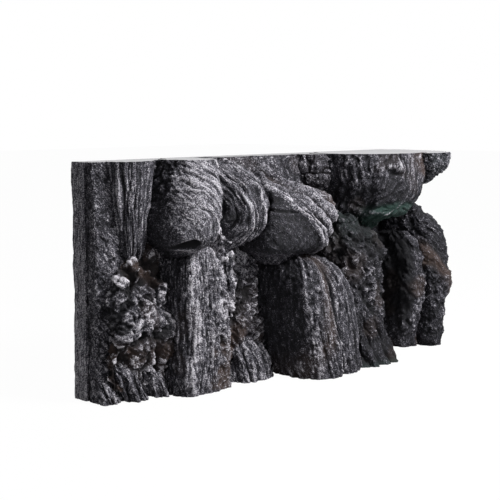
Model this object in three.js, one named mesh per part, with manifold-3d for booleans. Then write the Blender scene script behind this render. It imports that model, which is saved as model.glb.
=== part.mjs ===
// A rock terrace with caves for an aquarium. A flat back panel carries separate resin rock castings:
// hanging boulders and a ledge above, pillars and rubble below, with caves left between them.
// Every casting is cut flush at the flat top and stands on the flat base. Millimetres, +Z up.
// The wall is laid out from its left end (x = 0) and its back face (y = 0), with its front towards -Y.
import * as THREE from "three";
import { ParametricGeometry } from "three/addons/geometries/ParametricGeometry.js";
import { mergeVertices } from "three/addons/utils/BufferGeometryUtils.js";
import Module from "manifold-3d";

const wasm = await Module();
wasm.setup();

// Driving dimensions
const LENGTH = 500; // left end to right end
const HEIGHT = 240; // flat base to flat top
const REACH = 119; // how far the foremost rock stands out from the panel
const PANEL = 18; // thickness of the back panel
const PANEL_BEVEL = 2.5; // worn corners of the panel's two ends
const BOND = 0.4; // glue line between neighbouring pieces

// The rocks are drawn on a layout sheet of this size, which stretches to the driving dimensions.
const SHEET = { length: 500, height: 240, reach: 119 };
const ALONG = LENGTH / SHEET.length;
const UP = HEIGHT / SHEET.height;
const OUT = REACH / SHEET.reach;

const SECTION_MIDDLE = 0.42; // where a casting's section is widest, as a share of its reach
const SEAT_SQUARE = 0.22; // exponent of the nearly square back corners that seat on the panel
const RELIEF_START = -0.25; // relief fades in from this sine of the section angle, so seats stay flat
const SIDE_ANGLE = 0.25; // how far past its two sides a section's shown front runs, in radians
const SHOWN_SHARE = 0.8; // the share of a section's points on that front

const FINISHES = {
  charcoal: { color: 0x3a393d, roughness: 0.75, metalness: 0 },
  dry_brushed: { color: 0x5c5b60, roughness: 0.8, metalness: 0 },
  rubble: { color: 0x46424a, roughness: 0.85, metalness: 0 },
  umber: { color: 0x4a4140, roughness: 0.8, metalness: 0 },
};

// Each casting's stations run from its foot to its top: [height, left, right, reach from the panel].
// square: section exponent (1 is an ellipse, smaller is boxier). lean: how far the nose of the section
// is pushed along the wall, as a share of its half width. ribs: [count, depth] of upright ribs.
// cobbles: [pitch, depth] of rounded lumps. waves: [pitch, depth] of broad unevenness.
const CASTINGS = {
  left_wall: {
    finish: "charcoal",
    stations: [
      [0, 0, 100, 24],
      [60, 0, 100, 25],
      [130, 0.5, 101, 22],
      [190, 1.5, 102, 19],
      [240, 3, 104, 14],
    ],
    square: 0.4,
    cobbles: [30, 2.2],
    rings: 9,
    turns: 16,
  },
  upper_wall: {
    finish: "umber",
    stations: [
      [132, 150, 330, 18],
      [160, 146, 338, 25],
      [190, 143, 342, 27],
      [215, 142, 344, 23],
      [240, 142, 346, 16],
    ],
    square: 0.36,
    lean: 0.15,
    cobbles: [34, 2.6],
    rings: 6,
    turns: 18,
  },
  cave_wall: {
    finish: "charcoal",
    stations: [
      [0, 372, 498, 12],
      [60, 370, 498, 15],
      [120, 372, 498, 14],
      [180, 378, 496, 11],
      [208, 384, 492, 8],
    ],
    square: 0.36,
    cobbles: [36, 1.8],
    rings: 7,
    turns: 14,
  },
  overhang_boulder: {
    finish: "dry_brushed",
    stations: [
      [146, 78, 100, 58],
      [151, 68, 110, 74],
      [162, 58, 120, 84],
      [180, 56, 127, 86],
      [200, 62, 131, 81],
      [220, 73, 132, 72],
      [240, 84, 134, 62],
    ],
    square: 0.8,
    lean: 0.12,
    waves: [44, 2.2],
    rings: 11,
    turns: 22,
  },
  folded_rock: {
    finish: "dry_brushed",
    stations: [
      [143, 136, 166, 48],
      [153, 126, 176, 66],
      [168, 118, 186, 79],
      [184, 115, 195, 84],
      [200, 116, 198, 79],
      [216, 122, 195, 63],
      [230, 130, 190, 37],
      [240, 138, 184, 11],
    ],
    square: 0.75,
    lean: 0.25,
    folds: { along: 132, up: 196, pitch: 16, depth: 2.6 },
    waves: [50, 1.2],
    rings: 15,
    turns: 24,
  },
  centre_boulder: {
    finish: "charcoal",
    stations: [
      [131, 206, 244, 70],
      [136, 190, 262, 90],
      [146, 176, 276, 101],
      [162, 169, 284, 105],
      [180, 169, 288, 101],
      [196, 173, 281, 90],
      [208, 179, 262, 74],
      [217, 188, 238, 50],
    ],
    square: 0.72,
    lean: -0.05,
    fingers: { from: 184, pitch: 24, depth: 4.5, slope: 1.15 },
    waves: [46, 1.6],
    rings: 15,
    turns: 28,
  },
  terrace_ledge: {
    finish: "umber",
    stations: [
      [158, 350, 390, 62],
      [165, 338, 402, 84],
      [176, 330, 413, 99],
      [190, 326, 422, 107],
      [206, 322, 428, 110],
      [224, 318, 434, 107],
      [240, 316, 438, 104],
    ],
    square: 0.72,
    lean: 0.4,
    ribs: [6, 2],
    waves: [40, 2.4],
    rings: 11,
    turns: 28,
  },
  ledge_tip: {
    finish: "charcoal",
    stations: [
      [210, 432, 470, 98],
      [214, 424, 486, 110],
      [224, 420, 497, 117],
      [240, 420, 500, 118],
    ],
    square: 0.8,
    lean: -0.5,
    cobbles: [17, 2],
    rings: 5,
    turns: 20,
  },
  ledge_shoulder: {
    finish: "umber",
    stations: [
      [194, 306, 338, 30],
      [204, 296, 346, 44],
      [218, 292, 352, 48],
      [240, 294, 354, 42],
    ],
    square: 0.66,
    lean: 0.35,
    cobbles: [24, 3.2],
    rings: 7,
    turns: 18,
  },
  left_pillar: {
    finish: "dry_brushed",
    stations: [
      [0, 78, 156, 66],
      [40, 79, 156, 66],
      [85, 80, 153, 65],
      [120, 82, 150, 64],
      [140, 85, 146, 61],
      [152, 92, 138, 54],
    ],
    square: 0.5,
    lean: -0.1,
    ribs: [8, 1.4],
    waves: [52, 1.8],
    rings: 8,
    turns: 26,
  },
  centre_pillar: {
    finish: "charcoal",
    stations: [
      [0, 224, 312, 112],
      [30, 214, 307, 113],
      [62, 205, 300, 112],
      [92, 203, 290, 110],
      [114, 205, 278, 106],
      [128, 213, 263, 97],
      [135, 224, 250, 82],
    ],
    square: 0.5,
    lean: 0.1,
    ribs: [9, 2],
    waves: [60, 1.8],
    rings: 10,
    turns: 30,
  },
  right_pillar_front: {
    finish: "umber",
    stations: [
      [0, 438, 476, 72],
      [36, 434, 474, 79],
      [76, 434, 472, 83],
      [104, 436, 470, 82],
      [126, 441, 465, 74],
      [138, 447, 459, 62],
    ],
    square: 0.62,
    lean: -0.15,
    cobbles: [26, 2.4],
    waves: [40, 2],
    rings: 8,
    turns: 18,
  },
  right_pillar_back: {
    finish: "charcoal",
    stations: [
      [0, 462, 500, 88],
      [30, 458, 500, 95],
      [76, 456, 500, 99],
      [112, 456, 500, 97],
      [140, 457, 498, 90],
      [158, 459, 492, 80],
      [170, 463, 482, 66],
    ],
    square: 0.66,
    cobbles: [24, 2.2],
    waves: [44, 2],
    rings: 9,
    turns: 18,
  },
  hanging_column: {
    finish: "dry_brushed",
    stations: [
      [130, 35, 51, 22],
      [142, 30, 55, 30],
      [165, 25, 59, 35],
      [190, 22, 61, 37],
      [215, 20, 64, 39],
      [240, 17, 68, 40],
    ],
    square: 0.62,
    lean: 0.2,
    ribs: [8, 1.3],
    waves: [38, 1],
    rings: 8,
    turns: 24,
  },
  knob_stack: {
    finish: "rubble",
    stations: [
      [66, 140, 152, 56],
      [78, 134, 158, 62],
      [92, 137, 156, 59],
      [106, 131, 159, 65],
      [119, 135, 155, 60],
      [132, 126, 157, 66],
      [146, 126, 152, 61],
      [159, 120, 150, 66],
      [170, 120, 144, 62],
      [178, 125, 136, 52],
    ],
    square: 0.8,
    cobbles: [15, 1.4],
    rings: 19,
    turns: 14,
  },
  foot_outer: {
    finish: "dry_brushed",
    stations: [
      [0, 0, 25, 34],
      [13, 0, 21, 31],
      [25, 0, 15, 24],
      [31, 1, 9, 15],
    ],
    square: 0.7,
    lean: -0.2,
    rings: 5,
    turns: 14,
  },
  foot_middle: {
    finish: "dry_brushed",
    stations: [
      [0, 25, 56, 43],
      [17, 18, 48, 42],
      [32, 11, 37, 38],
      [40, 12, 28, 29],
    ],
    square: 0.7,
    lean: -0.05,
    ribs: [5, 1.6],
    rings: 6,
    turns: 22,
  },
  foot_inner: {
    finish: "dry_brushed",
    stations: [
      [0, 56, 79, 46],
      [16, 49, 75, 45],
      [30, 41, 65, 41],
      [38, 43, 57, 31],
    ],
    square: 0.7,
    ribs: [4, 1.6],
    rings: 6,
    turns: 18,
  },
  centre_foot: {
    finish: "dry_brushed",
    stations: [
      [0, 158, 217, 66],
      [18, 160, 214, 64],
      [34, 164, 207, 59],
      [44, 171, 198, 48],
    ],
    square: 0.66,
    lean: 0.1,
    ribs: [7, 2],
    rings: 6,
    turns: 24,
  },
  left_rubble: {
    finish: "rubble",
    stations: [
      [14, 4, 90, 34],
      [38, 6, 92, 41],
      [64, 9, 92, 44],
      [92, 12, 89, 43],
      [118, 17, 84, 39],
      [138, 26, 76, 33],
      [150, 36, 68, 25],
    ],
    square: 0.42,
    cobbles: [20, 3.6],
    rings: 12,
    turns: 22,
  },
  centre_rubble: {
    finish: "rubble",
    stations: [
      [0, 150, 232, 44],
      [45, 150, 220, 48],
      [90, 148, 214, 50],
      [125, 146, 212, 47],
      [150, 148, 206, 39],
      [166, 156, 196, 28],
    ],
    square: 0.6,
    cobbles: [21, 3.4],
    rings: 12,
    turns: 18,
  },
  right_rubble: {
    finish: "rubble",
    stations: [
      [0, 304, 380, 114],
      [14, 302, 378, 107],
      [45, 297, 375, 98],
      [85, 295, 374, 96],
      [122, 294, 373, 94],
      [148, 298, 368, 86],
      [162, 308, 356, 72],
    ],
    square: 0.6,
    lean: 0.14,
    cobbles: [21, 4],
    rings: 13,
    turns: 24,
  },
};

// The value of one column of a table of stations at t from 0 to 1: a Catmull-Rom spline through its rows.
function alongStations(stations, column, t) {
  const last = stations.length - 1;
  const s = Math.min(Math.max(t * last, 0), last - 1e-9);
  const i = Math.floor(s);
  const w = s - i;
  const at = (k) => stations[Math.min(Math.max(k, 0), last)][column];
  const [a, b, c, d] = [at(i - 1), at(i), at(i + 1), at(i + 2)];
  const slope = c - a;
  const bend = 2 * a - 5 * b + 4 * c - d;
  const twist = 3 * (b - c) + d - a;
  return b + 0.5 * w * (slope + w * (bend + w * twist));
}

// Most of a section's points go to its shown front, from just behind one side to just behind the other.
function sectionAngle(u) {
  const shown = Math.PI + 2 * SIDE_ANGLE;
  if (u < SHOWN_SHARE) return -SIDE_ANGLE + (shown * u) / SHOWN_SHARE;
  return Math.PI + SIDE_ANGLE + ((2 * Math.PI - shown) * (u - SHOWN_SHARE)) / (1 - SHOWN_SHARE);
}

const power = (value, exponent) => Math.sign(value) * Math.abs(value) ** exponent;
const clamp = THREE.MathUtils.clamp;

// Rounded lumps of one pitch over a surface, from -1 in the gaps to 1 on the crowns.
function lumps(x, y, z, pitch) {
  const k = Math.PI / pitch;
  const row = Math.sin(k * (x + 0.45 * z) + 1.3 * Math.sin(0.6 * k * y));
  const tier = Math.sin(k * (z - 0.35 * x) + 1.1 * Math.cos(0.7 * k * x + k * y));
  return 2 * Math.abs(row * tier) ** 0.6 - 1;
}

// Broad unevenness from -1 to 1, slower than the lumps and never repeating over one casting.
function unevenness(x, y, z, pitch) {
  const k = (2 * Math.PI) / pitch;
  return (
    (Math.sin(k * (x + 0.3 * z)) + Math.sin(k * (0.8 * z - 0.6 * y) + 2) + Math.sin(1.7 * k * (x - y) + 4)) / 3
  );
}

// How far a casting's surface stands out from its smooth section at a place on the layout sheet.
function relief(rock, x, y, z, angle) {
  let out = 0;
  if (rock.ribs) out += rock.ribs[1] * Math.cos(2 * rock.ribs[0] * angle + 0.02 * z);
  if (rock.cobbles) out += rock.cobbles[1] * lumps(x, y, z, rock.cobbles[0]);
  if (rock.waves) out += rock.waves[1] * unevenness(x, y, z, rock.waves[0]);
  if (rock.folds) {
    const from = Math.hypot(x - rock.folds.along, z - rock.folds.up);
    out += rock.folds.depth * Math.sin((2 * Math.PI * from) / rock.folds.pitch);
  }
  if (rock.fingers) {
    const across = x - rock.fingers.slope * (rock.fingers.from - z);
    const fade = clamp((z - rock.fingers.from) / 14, 0, 1);
    out += fade * rock.fingers.depth * Math.cos((2 * Math.PI * across) / rock.fingers.pitch);
  }
  return out;
}

// The loft of one casting, grown on every side by the given amount.
function loft(rock, grown) {
  const { stations, square, lean = 0, rings, turns } = rock;
  const foot = stations[0][0];
  const crown = stations[stations.length - 1][0];
  const rows = rings + 2; // the rings and the two points that close the ends
  const middleOf = (t) => (alongStations(stations, 1, t) + alongStations(stations, 2, t)) / 2;
  const surface = (u, v, target) => {
    const row = Math.round(v * rows);
    const t = clamp((row - 1) / (rings - 1), 0, 1);
    const closing = row === 0 || row === rows;
    const height = clamp(alongStations(stations, 0, t), foot, crown);
    const reach = alongStations(stations, 3, t);
    const halfWidth = (alongStations(stations, 2, t) - alongStations(stations, 1, t)) / 2;
    const middle = middleOf(t);
    const angle = sectionAngle(u % 1);
    const [c, s] = [Math.cos(angle), Math.sin(angle)];
    const exponent = s < 0 ? SEAT_SQUARE : square;
    const depth = s < 0 ? SECTION_MIDDLE * reach : (1 - SECTION_MIDDLE) * reach;
    let x = halfWidth * power(c, exponent);
    let y = depth * power(s, exponent);
    x += lean * halfWidth * clamp(y / depth, 0, 1) * (s > 0 ? 1 : 0);
    const radius = Math.hypot(x, y) || 1;
    const shown = clamp((s - RELIEF_START) / (1 - RELIEF_START), 0, 1) ** 0.5;
    const out = shown * relief(rock, middle + x, y, height, angle);
    x = (x * (radius + out)) / radius;
    y = (y * (radius + out)) / radius;
    const edge = clamp(middle + x, 0, SHEET.length) * ALONG;
    const front = clamp(SECTION_MIDDLE * reach + y, 0, SHEET.reach) * OUT;
    const side = new THREE.Vector2(x, y).normalize().multiplyScalar(grown);
    const end = row <= 1 ? -grown : row >= rows - 1 ? grown : 0;
    if (closing) target.set(middle * ALONG, -(PANEL + BOND + SECTION_MIDDLE * reach * OUT), height * UP + end);
    else target.set(edge + side.x, -(PANEL + BOND + front + side.y), height * UP + end);
  };
  return new ParametricGeometry(surface, turns, rows);
}

// A geometry as a manifold-3d solid: shared vertices merged, collapsed triangles dropped, faces outwards.
function toSolid(geometry) {
  const bare = new THREE.BufferGeometry().setAttribute("position", geometry.getAttribute("position"));
  bare.setIndex(geometry.index);
  const merged = mergeVertices(bare, 1e-3);
  const index = merged.index.array;
  const kept = [];
  for (let i = 0; i < index.length; i += 3) {
    const [a, b, c] = [index[i], index[i + 1], index[i + 2]];
    if (a !== b && b !== c && c !== a) kept.push(a, b, c);
  }
  const build = (triangles) =>
    new wasm.Manifold(
      new wasm.Mesh({
        numProp: 3,
        vertProperties: new Float32Array(merged.attributes.position.array),
        triVerts: new Uint32Array(triangles),
      }),
    );
  const made = build(kept);
  return made.volume() > 0 ? made : build(kept.reverse());
}

// A manifold-3d solid as a named mesh with its own material.
function toMesh(solid, name, finish) {
  const { numProp, numVert, vertProperties, triVerts } = solid.getMesh();
  const position = new Float32Array(numVert * 3);
  for (let i = 0; i < numVert; i++) position.set(vertProperties.subarray(i * numProp, i * numProp + 3), 3 * i);
  const geometry = new THREE.BufferGeometry();
  geometry.setAttribute("position", new THREE.BufferAttribute(position, 3));
  geometry.setIndex(new THREE.BufferAttribute(triVerts, 1));
  geometry.computeVertexNormals();
  const mesh = new THREE.Mesh(geometry, new THREE.MeshStandardMaterial(FINISHES[finish]));
  mesh.name = name;
  return mesh;
}

// The back panel: a flat slab with worn end corners, extruded upwards.
function backPanel() {
  const outline = new THREE.Shape([
    new THREE.Vector2(0, 0),
    new THREE.Vector2(LENGTH, 0),
    new THREE.Vector2(LENGTH, PANEL_BEVEL - PANEL),
    new THREE.Vector2(LENGTH - PANEL_BEVEL, -PANEL),
    new THREE.Vector2(PANEL_BEVEL, -PANEL),
    new THREE.Vector2(0, PANEL_BEVEL - PANEL),
  ]);
  const slab = new THREE.ExtrudeGeometry(outline, { depth: HEIGHT, bevelEnabled: false });
  return toMesh(toSolid(slab), "back_panel", "charcoal");
}

// The castings in the order in which they are bedded: each is trimmed to clear all those before it,
// and only the largest body is kept where the trimming splits one.
function beddedCastings() {
  const bedded = [];
  const cutters = [];
  for (const [name, rock] of Object.entries(CASTINGS)) {
    let solid = toSolid(loft(rock, 0));
    for (const cutter of cutters) solid = solid.subtract(cutter);
    const bodies = solid.decompose().sort((a, b) => b.volume() - a.volume());
    bedded.push(toMesh(bodies[0], name, rock.finish));
    cutters.push(toSolid(loft(rock, BOND)));
  }
  return bedded;
}

const terrace = new THREE.Group();
terrace.name = "cave_terrace";
terrace.add(backPanel(), ...beddedCastings());

// The origin is the middle of the base.
const middle = new THREE.Box3().setFromObject(terrace).getCenter(new THREE.Vector3());
terrace.position.set(-middle.x, -middle.y, 0);

export default terrace;
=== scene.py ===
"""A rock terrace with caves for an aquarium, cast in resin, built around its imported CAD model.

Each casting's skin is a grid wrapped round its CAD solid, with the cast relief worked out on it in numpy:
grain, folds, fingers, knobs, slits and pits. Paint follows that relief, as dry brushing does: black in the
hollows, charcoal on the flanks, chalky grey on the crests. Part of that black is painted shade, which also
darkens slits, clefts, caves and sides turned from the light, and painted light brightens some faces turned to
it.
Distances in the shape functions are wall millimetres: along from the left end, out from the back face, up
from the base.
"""

import itertools
import math

import bpy
import numpy as np
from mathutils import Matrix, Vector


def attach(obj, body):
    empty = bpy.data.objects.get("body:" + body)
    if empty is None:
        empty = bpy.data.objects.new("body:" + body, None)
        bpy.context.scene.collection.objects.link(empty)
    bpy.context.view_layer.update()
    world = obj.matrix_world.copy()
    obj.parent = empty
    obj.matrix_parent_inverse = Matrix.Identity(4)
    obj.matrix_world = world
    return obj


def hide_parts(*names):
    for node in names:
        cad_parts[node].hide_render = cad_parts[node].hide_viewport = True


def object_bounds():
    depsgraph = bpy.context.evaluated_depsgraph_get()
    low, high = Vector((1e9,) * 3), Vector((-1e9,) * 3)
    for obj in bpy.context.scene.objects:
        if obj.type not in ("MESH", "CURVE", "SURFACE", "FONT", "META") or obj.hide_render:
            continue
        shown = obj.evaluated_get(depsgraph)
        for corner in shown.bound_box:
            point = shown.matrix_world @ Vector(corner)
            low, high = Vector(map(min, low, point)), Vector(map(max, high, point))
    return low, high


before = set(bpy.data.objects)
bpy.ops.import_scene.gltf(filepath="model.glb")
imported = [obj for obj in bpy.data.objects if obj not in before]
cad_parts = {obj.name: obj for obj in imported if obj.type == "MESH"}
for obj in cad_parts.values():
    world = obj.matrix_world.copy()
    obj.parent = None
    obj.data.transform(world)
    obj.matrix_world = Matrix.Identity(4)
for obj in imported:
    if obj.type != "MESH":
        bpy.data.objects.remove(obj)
CAD_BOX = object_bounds()

bl_info = {
    "name": "Aquarium Rock Terrace",
    "version": (1, 0, 0),
    "blender": (4, 5, 0),
    "location": "3D View > Sidebar > Terrace",
    "description": "Builds the skins, the paint and the stage of a cast resin rock terrace",
    "category": "Object",
}

MM = 0.001
LOW = np.array(CAD_BOX[0])
HIGH = np.array(CAD_BOX[1])
TOP = HIGH[2] / MM  # height of the flat cut top above the base
END_SNAP = 0.6  # a casting that ends this close to the base or the top is cut flat there

ANGLES = 720
DIRECTIONS = np.arange(ANGLES) * 2 * math.pi / ANGLES  # in which a section is measured round its middle
MIDDLE = 0.42  # where a section's middle lies, as a share of its depth from the back
BACK_SHARE = 0.14  # how dense the points are on the hidden back, compared with the front
BED = 4.0  # how far the panel's ground comes forward between the castings
GROUND = 3.0  # how much the walls swell to meet the castings that sit on them
TOP_STEP = 0.12  # neighbours' cut tops differ by this much, so that no two lie in one plane
TOPS = (
    "overhang_boulder",
    "terrace_ledge",
    "folded_rock",
    "hanging_column",
    "ledge_tip",
    "ledge_shoulder",
    "upper_wall",
    "left_wall",
    "back_panel",
)  # the castings that are cut flat at the top, the highest first
FACET_TURN = 9  # blur that takes out the CAD facets, in measured directions
FACET_RISE = 3.5  # the same along the height, in millimetres
MIDDLE_RISE, HALF_RISE = 8, 2  # the same for a section's middle and for its half width

INSET = 0.05  # how far inside its ends a casting is first and last measured
CUT_RISE = 1.2  # the height between two measured sections
LEAST_CUTS, LEAST_ROWS, LEAST_COLUMNS = 12, 8, 24
LEAST_HALF, LEAST_REACH = 1.0, 0.04  # a section's least half width, and its least reach as a share of that
BACK_SINE = -0.35  # directions whose sine is lower than this face the hidden back
DOME, DOME_TURN = 0.5, 0.97  # a dome's height in half widths, and how much of a quarter turn it covers
CAP_RINGS = np.append(0.985, np.linspace(0.88, 0.02, 8))  # the rings of a flat end, as shares of its rim
SINK = 1.0  # how far the skin lies inside its CAD solid before the relief is on
FINE, BROAD = 2.2, (1.0, 7.0)  # relief finer than this, and between these, decides what is raised
FINE_CREST, BROAD_CREST = 0.5, 1.6  # how high such relief stands where a brush catches it fully
CREASE_ANGLE = math.radians(70)  # faces that meet more sharply than this are shaded flat

FAR_CELL, SCATTER = 9, 0.42  # a distance past any point, and how far points stray from their cells' centres
ALONG, OUT, UP = 0, 1, 2  # the axes of wall coordinates


def linear(colour):
    """An sRGB hex colour as linear red, green, blue and full alpha."""
    parts = np.array([(colour >> shift) & 255 for shift in (16, 8, 0)]) / 255
    lit = np.where(parts <= 0.04045, parts / 12.92, ((parts + 0.055) / 1.055) ** 2.4)
    return (*lit.tolist(), 1.0)


# ---------------------------------------------------------------- noise


def lattice(i, j, k, seed):
    """A fixed pseudo-random number from -1 to 1 for each whole-number point, mixed by shifts and products."""
    h = i * np.uint32(374761393) + j * np.uint32(668265263) + k * np.uint32(2246822519)
    h = h + np.uint32(seed * 40503 + 977)
    h = (h ^ (h >> np.uint32(15))) * np.uint32(2654435761)
    h = (h ^ (h >> np.uint32(13))) * np.uint32(1274126177)
    return (h ^ (h >> np.uint32(16))).astype(np.float32) * np.float32(2 / 4294967295) - np.float32(1)


def turned(x, y, z):
    """The place turned by a fixed rotation, so that no lattice line follows the casting's own lines."""
    return 0.36 * x + 0.48 * y - 0.8 * z, 0.6 * y - 0.8 * x, 0.48 * x + 0.64 * y + 0.6 * z


def noise(place, seed):
    """Smooth noise of unit cell size: the lattice numbers blended with a quintic fade along each axis."""
    place = turned(*place)
    cell = [np.floor(c) for c in place]
    part = [(c - f).astype(np.float32) for c, f in zip(place, cell)]
    fade = [t * t * t * (t * (6 * t - 15) + 10) for t in part]
    low = [f.astype(np.int64).astype(np.uint32) for f in cell]
    one = np.uint32(1)
    total = 0
    for dx in (0, 1):
        wx = fade[0] if dx else 1 - fade[0]
        for dy in (0, 1):
            wy = wx * (fade[1] if dy else 1 - fade[1])
            for dz in (0, 1):
                w = wy * (fade[2] if dz else 1 - fade[2])
                total = total + w * lattice(low[0] + one * dx, low[1] + one * dy, low[2] + one * dz, seed)
    return total


def scaled(place, scale):
    """A place with its three coordinates multiplied."""
    return [c * scale for c in place]


def soft(place, size, seed):
    """Noise whose lumps have the given size in millimetres, or a size of their own along each axis."""
    return noise([c / s for c, s in zip(place, np.broadcast_to(size, 3))], seed)


def octaves(number, fall, layer):
    """The mean of layer(0), layer(1) and so on, where each weighs fall times as much as the one before."""
    weights = [math.prod([fall] * octave) for octave in range(number)]
    return sum(weight * layer(octave) for octave, weight in enumerate(weights)) / sum(weights)


def cloud(place, size, number, seed):
    """Fractal noise: octaves of noise, each half the size and half the weight of the one before."""
    return octaves(number, 0.5, lambda o: noise(scaled(place, 2**o / size), seed + 17 * o))


def cells(place, size, seed):
    """Distances to the nearest and second nearest of points scattered one to a cell, in cell sizes."""
    place = turned(*(c / size for c in place))
    cell = [np.floor(c) for c in place]
    near = np.full(place[0].shape, FAR_CELL, np.float32)
    second = near.copy()
    for shift in itertools.product((-1, 0, 1), repeat=3):
        corner = [c + d for c, d in zip(cell, shift)]
        whole = [c.astype(np.int64).astype(np.uint32) for c in corner]
        points = [c + 0.5 + SCATTER * lattice(*whole, seed + axis) for axis, c in enumerate(corner)]
        away = sum((c - p) ** 2 for c, p in zip(place, points))
        distance = np.sqrt(away).astype(np.float32)
        second = np.minimum(second, np.maximum(near, distance))
        near = np.minimum(near, distance)
    return near, second


def step(low, high, value):
    """0 below low, 1 above high, smooth between."""
    t = np.clip((value - low) / (high - low), 0, 1)
    return t * t * (3 - 2 * t)


def fall(low, high, value):
    """1 below low, 0 above high, smooth between."""
    return 1 - step(low, high, value)


def bump(value, centre, width):
    """A bell of height 1 at the centre that falls to a third one width away."""
    return np.exp(-(((value - centre) / width) ** 2))


def blur(field, size, axis, wrap):
    """A moving mean of the given half width along one axis, run twice."""
    half = max(int(round(size)), 0)
    if half == 0:
        return field
    for _ in range(2):
        pad = [(0, 0)] * field.ndim
        pad[axis] = (half + 1, half)
        padded = np.pad(field, pad, mode="wrap" if wrap else "edge")
        total = np.cumsum(padded, axis=axis, dtype=np.float64)
        n = field.shape[axis]
        upper = np.take(total, np.arange(2 * half + 1, 2 * half + 1 + n), axis=axis)
        lower = np.take(total, np.arange(0, n), axis=axis)
        field = (upper - lower) / (2 * half + 1)
    return field


# ---------------------------------------------------------------- wrapping a grid round a CAD solid


def to_wall(points):
    """Metres in the row frame as wall millimetres: along, out and up."""
    return np.stack([points[..., 0] - LOW[0], HIGH[1] - points[..., 1], points[..., 2]], -1) / MM


def from_wall(points):
    """Wall millimetres as metres in the row frame."""
    return np.stack([points[..., 0] * MM + LOW[0], HIGH[1] - points[..., 1] * MM, points[..., 2] * MM], -1)


def triangles_of(node):
    """The triangles of a CAD node in wall millimetres, as corners[triangle, corner, axis]."""
    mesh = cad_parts[node].data
    mesh.calc_loop_triangles()
    places = np.empty(len(mesh.vertices) * 3, np.float32)
    mesh.vertices.foreach_get("co", places)
    corners = np.empty(len(mesh.loop_triangles) * 3, np.int32)
    mesh.loop_triangles.foreach_get("vertices", corners)
    return to_wall(places.reshape(-1, 3).astype(float))[corners].reshape(-1, 3, 3)


def top_of(node):
    """The height of a casting's cut top."""
    return TOP - TOP_STEP * (TOPS.index(node) if node in TOPS else 0)


def section(triangles, height):
    """The cut of a solid at one height, as the two end points of each line of the cut."""
    under = triangles[:, :, 2] < height
    crossed = under.any(1) & ~under.all(1)
    found, under = triangles[crossed], under[crossed]
    lone = np.where(under.sum(1) == 1, under.argmax(1), (~under).argmax(1))
    row = np.arange(len(found))
    apex = found[row, lone]
    ends = []
    for turn in (1, 2):
        other = found[row, (lone + turn) % 3]
        share = (height - apex[:, 2:]) / (other[:, 2:] - apex[:, 2:])
        ends.append((apex + share * (other - apex))[:, :2])
    return ends


def distances(ends, middle, half, angles):
    """How far a section reaches in each direction, in half widths: the furthest crossing of each ray."""
    p, q = [(e - middle) / half for e in ends]
    c, s = np.cos(angles)[:, None], np.sin(angles)[:, None]
    side_p = c * p[:, 1] - s * p[:, 0]
    side_q = c * q[:, 1] - s * q[:, 0]
    hit = (side_p * side_q <= 0) & (side_p != side_q)
    share = np.where(hit, side_p / np.where(hit, side_p - side_q, 1), 0)
    along = c * (p[:, 0] + share * (q[:, 0] - p[:, 0])) + s * (p[:, 1] + share * (q[:, 1] - p[:, 1]))
    return np.where(hit, along, 0).max(1)


def measured(triangles, low, high):
    """A solid's sections at even heights: their heights, middles, half widths and reaches.

    A reach is the furthest crossing in each direction, in half widths. Moving means take out the CAD facets.
    """
    heights = np.linspace(low + INSET, high - INSET, max(int((high - low) / CUT_RISE), LEAST_CUTS))
    rise = heights[1] - heights[0]
    cuts = [section(triangles, height) for height in heights]
    lows = np.array([np.minimum(a.min(0), b.min(0)) for a, b in cuts])
    highs = np.array([np.maximum(a.max(0), b.max(0)) for a, b in cuts])
    half = np.maximum((highs - lows) * [0.5, 1 - MIDDLE], LEAST_HALF)
    middle = np.stack([(lows[:, 0] + highs[:, 0]) / 2, highs[:, 1] - half[:, 1]], -1)
    middle = blur(middle, MIDDLE_RISE / rise, 0, False)
    half = blur(half, HALF_RISE / rise, 0, False)
    reach = np.array([distances(c, m, h, DIRECTIONS) for c, m, h in zip(cuts, middle, half)])
    reach = np.maximum(reach, LEAST_REACH)
    reach = blur(blur(reach, FACET_TURN, 1, True), FACET_RISE / rise, 0, False)
    return heights, middle, half, reach


def even_rows(heights, middle, half, reach, spacing):
    """The same sections, blended to lie a spacing apart along the surface, which rises and widens."""
    widened = np.abs(np.diff(np.concatenate([half, middle], 1), axis=0)).max(1)
    run = np.concatenate([[0], np.cumsum(np.hypot(np.diff(heights), widened))])
    rows = max(int(run[-1] / spacing), LEAST_ROWS)
    pick = np.interp(np.linspace(0, run[-1], rows), run, np.arange(len(heights)))
    base = np.minimum(pick.astype(int), len(heights) - 2)
    mix = (pick - base)[:, None]
    return [v[base] * (1 - mix) + v[base + 1] * mix for v in (heights[:, None], middle, half, reach)]


def even_columns(along, out, spacing):
    """Each row's points, moved to lie evenly along its outline and sparser on its back, and their turns."""
    weight = np.where(np.sin(DIRECTIONS) > BACK_SINE, 1.0, BACK_SHARE)
    length = np.hypot(np.roll(along, -1, 1) - along, np.roll(out, -1, 1) - out) * weight
    columns = max(int(length.sum(1).max() / spacing), LEAST_COLUMNS)
    share = np.arange(columns) / columns
    turns = np.append(DIRECTIONS, 2 * math.pi)
    rows = []
    for a, o, n in zip(along, out, length):
        passed = np.concatenate([[0], np.cumsum(n)]) / n.sum()
        rows.append([np.interp(share, passed, v) for v in (np.append(a, a[0]), np.append(o, o[0]), turns)])
    return [np.array(part) for part in zip(*rows)]


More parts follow.
